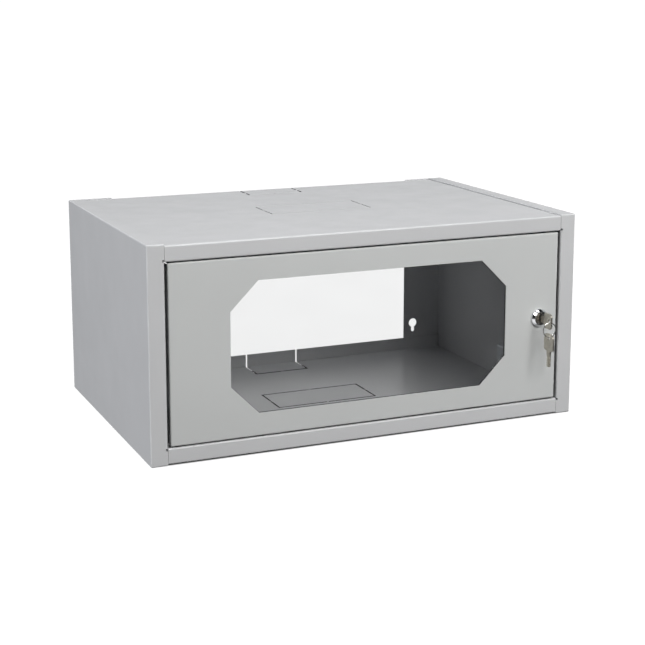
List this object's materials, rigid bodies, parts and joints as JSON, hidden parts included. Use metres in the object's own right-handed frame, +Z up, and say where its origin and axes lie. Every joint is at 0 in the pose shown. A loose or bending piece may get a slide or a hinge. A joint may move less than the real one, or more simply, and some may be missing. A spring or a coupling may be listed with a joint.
{
  "type": "network rack cabinet",
  "caption": "Small wall or desk rack cabinet in grey folded steel, with an eight-sided window in its locking hinged door, knockouts for cables and an open back.",
  "frame": {"origin": "middle of the bounding box at the height of the bottom flanges, which the cabinet stands on", "axes": "+X across the front to the lock side, +Y from the door to the back, +Z up"},
  "size_m": [0.54, 0.385, 0.25],
  "materials": {
    "cabinet_coat": "semi-gloss light grey powder coat with a fine orange-peel texture",
    "door_coat": "semi-gloss light grey powder coat with a fine orange-peel texture",
    "black_foam": "matt black double-sided foam tape",
    "window_acrylic": "clear polished acrylic sheet with a faint cool tint",
    "zinc_plate": "bright zinc plating with a soft bluish variation",
    "black_nylon": "moulded black nylon",
    "black_rubber": "matt black rubber",
    "lock_chrome": "bright chrome plating",
    "key_nickel": "dull nickel plating with handling marks",
    "ring_steel": "bright nickel-plated spring wire",
    "screw_steel": "plain turned steel"
  },
  "bodies": {
    "cabinet": {"left_side_panel": "cabinet_coat", "right_side_panel": "cabinet_coat", "top_panel": "cabinet_coat", "bottom_panel": "cabinet_coat", "upper_hinge_pin": "zinc_plate", "lower_hinge_pin": "zinc_plate", "lower_door_bumper": "black_rubber", "upper_door_bumper": "black_rubber", "left_mounting_rail": "zinc_plate", "right_mounting_rail": "zinc_plate", "left_lower_rail_bracket": "zinc_plate", "left_lower_rail_bolt": "screw_steel", "left_lower_rail_nut": "zinc_plate", "right_lower_rail_bracket": "zinc_plate", "right_lower_rail_bolt": "screw_steel", "right_lower_rail_nut": "zinc_plate", "left_upper_rail_bracket": "zinc_plate", "left_upper_rail_bolt": "screw_steel", "left_upper_rail_nut": "zinc_plate", "right_upper_rail_bracket": "zinc_plate", "right_upper_rail_bolt": "screw_steel", "right_upper_rail_nut": "zinc_plate", "earth_stud": "screw_steel", "earth_washer": "zinc_plate", "earth_nut": "zinc_plate"},
    "door": {"door_panel": "door_coat", "window_tape": "black_foam", "window_pane": "window_acrylic", "upper_hinge_bush": "black_nylon", "lower_hinge_bush": "black_nylon", "lock_housing": "lock_chrome", "lock_nut": "zinc_plate"},
    "lock_barrel": {"lock_plug": "lock_chrome", "lock_cam": "zinc_plate", "cam_screw": "screw_steel"},
    "key": {"key_in_lock": "key_nickel"},
    "key_ring": {"key_ring": "ring_steel"},
    "spare_key": {"spare_key": "key_nickel"}
  },
  "joints": [
    {"name": "door_hinge", "type": "hinge", "parent": "cabinet", "child": "door", "pos_m": [-0.239, -0.15055, 0.125], "axis": [0, 0, 1], "range_deg": [-110, 0]},
    {"name": "lock_turn", "type": "hinge", "parent": "door", "child": "lock_barrel", "pos_m": [0.222, -0.15755, 0.125], "axis": [0, -1, 0], "range_deg": [0, 90]},
    {"name": "key_slide", "type": "slide", "parent": "lock_barrel", "child": "key", "axis": [0, -1, 0], "range_m": [0, 0.0205]},
    {"name": "ring_swing", "type": "hinge", "parent": "key", "child": "key_ring", "pos_m": [0.222, -0.18245, 0.1234], "axis": [1, 0, 0], "range_deg": [-75, 20]},
    {"name": "spare_key_slide", "type": "hinge", "parent": "key_ring", "child": "spare_key", "pos_m": [0.222, -0.18245, 0.1148], "axis": [0, 1, 0], "range_deg": [-90, 90]}
  ]
}
